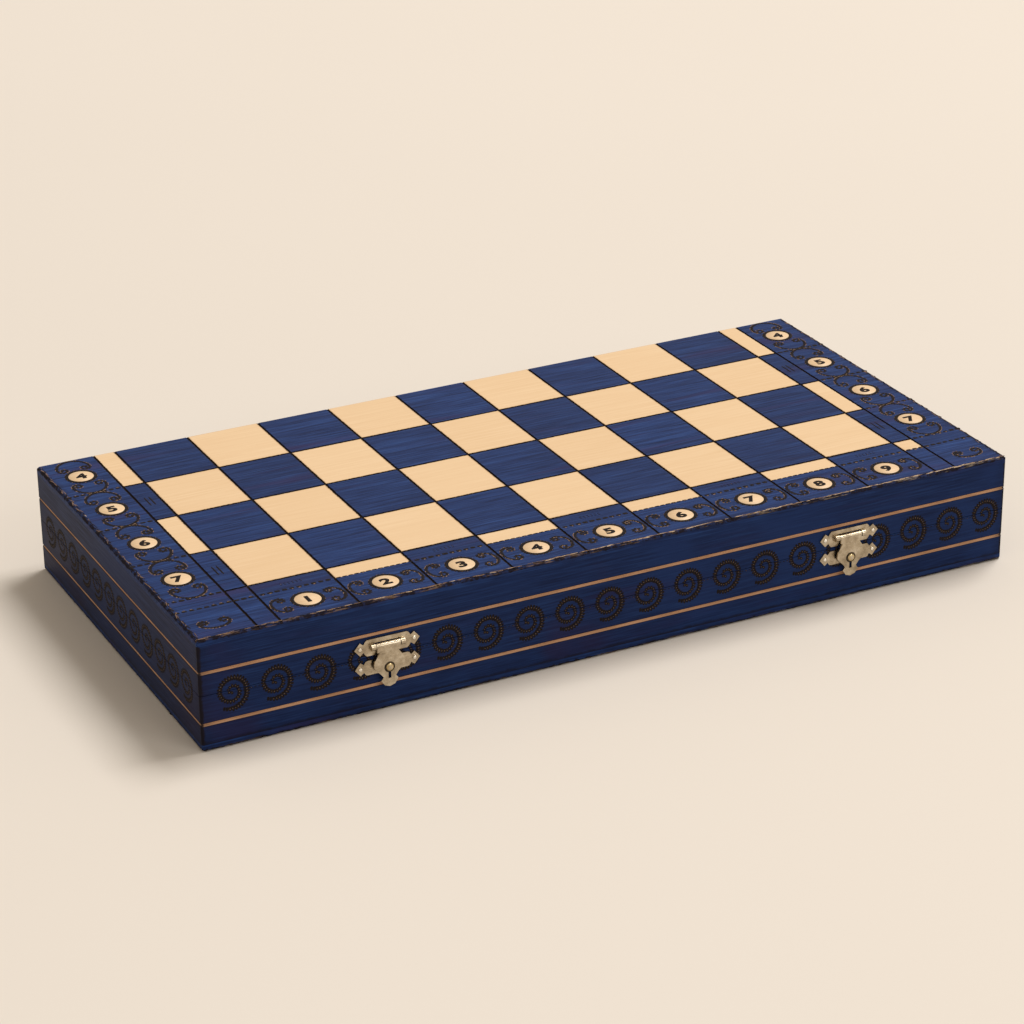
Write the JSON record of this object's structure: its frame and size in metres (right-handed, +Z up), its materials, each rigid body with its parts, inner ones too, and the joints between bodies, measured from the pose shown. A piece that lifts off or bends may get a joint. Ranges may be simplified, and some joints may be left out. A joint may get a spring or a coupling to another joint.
{
  "type": "folding chess box with men",
  "caption": "Folding wooden chess box: two hinged trays whose outer faces form the board, with two hasp latches, fitted inserts and turned men.",
  "frame": {"origin": "middle of the closed box's underside, on the surface it stands on", "axes": "+X along the box, +Y towards the hinges, +Z up; the latches are at -Y"},
  "size_m": [0.4, 0.2058, 0.052],
  "materials": {
    "board": "stained blue and burned, waxed",
    "walls": "stained navy, burned, waxed",
    "felt": "navy felt over fibreboard",
    "light_men": "turned, clear varnish",
    "dark_men": "turned, stained navy, varnished",
    "hinge_metal": "nickel plated, dulled",
    "latch_metal": "nickel plated, dulled"
  },
  "bodies": {
    "base": {"base_board_panel": "board", "base_front_wall": "walls", "base_back_wall": "walls", "base_left_wall": "walls", "base_right_wall": "walls", "base_insert": "felt", "light_king": "light_men", "light_queen": "light_men", "light_bishops": "light_men", "light_knights": "light_men", "light_rooks": "light_men", "light_pawns": "light_men", "left_hinge_base_leaf": "hinge_metal", "right_hinge_base_leaf": "hinge_metal", "left_hinge_pin": "hinge_metal", "right_hinge_pin": "hinge_metal", "base_hinge_screws": "hinge_metal", "left_latch_lower_plate": "latch_metal", "right_latch_lower_plate": "latch_metal", "base_latch_nails": "latch_metal"},
    "lid": {"lid_board_panel": "board", "lid_front_wall": "walls", "lid_back_wall": "walls", "lid_left_wall": "walls", "lid_right_wall": "walls", "lid_insert": "felt", "dark_king": "dark_men", "dark_queen": "dark_men", "dark_bishops": "dark_men", "dark_knights": "dark_men", "dark_rooks": "dark_men", "dark_pawns": "dark_men", "left_hinge_lid_leaf": "hinge_metal", "right_hinge_lid_leaf": "hinge_metal", "lid_hinge_screws": "hinge_metal", "left_latch_upper_plate": "latch_metal", "right_latch_upper_plate": "latch_metal", "left_latch_pin": "latch_metal", "right_latch_pin": "latch_metal", "lid_latch_nails": "latch_metal"},
    "left_hasp": {"left_latch_hasp": "latch_metal"},
    "right_hasp": {"right_latch_hasp": "latch_metal"}
  },
  "joints": [
    {"name": "lid_hinge", "type": "hinge", "parent": "base", "child": "lid", "pos_m": [0, 0.1003, 0.026], "axis": [-1, 0, 0], "range_deg": [0, 180]},
    {"name": "left_hasp_hinge", "type": "hinge", "parent": "lid", "child": "left_hasp", "pos_m": [-0.115, -0.1015, 0.0311], "axis": [-1, 0, 0], "range_deg": [0, 150]},
    {"name": "right_hasp_hinge", "type": "hinge", "parent": "lid", "child": "right_hasp", "pos_m": [0.115, -0.1015, 0.0311], "axis": [-1, 0, 0], "range_deg": [0, 150]}
  ]
}
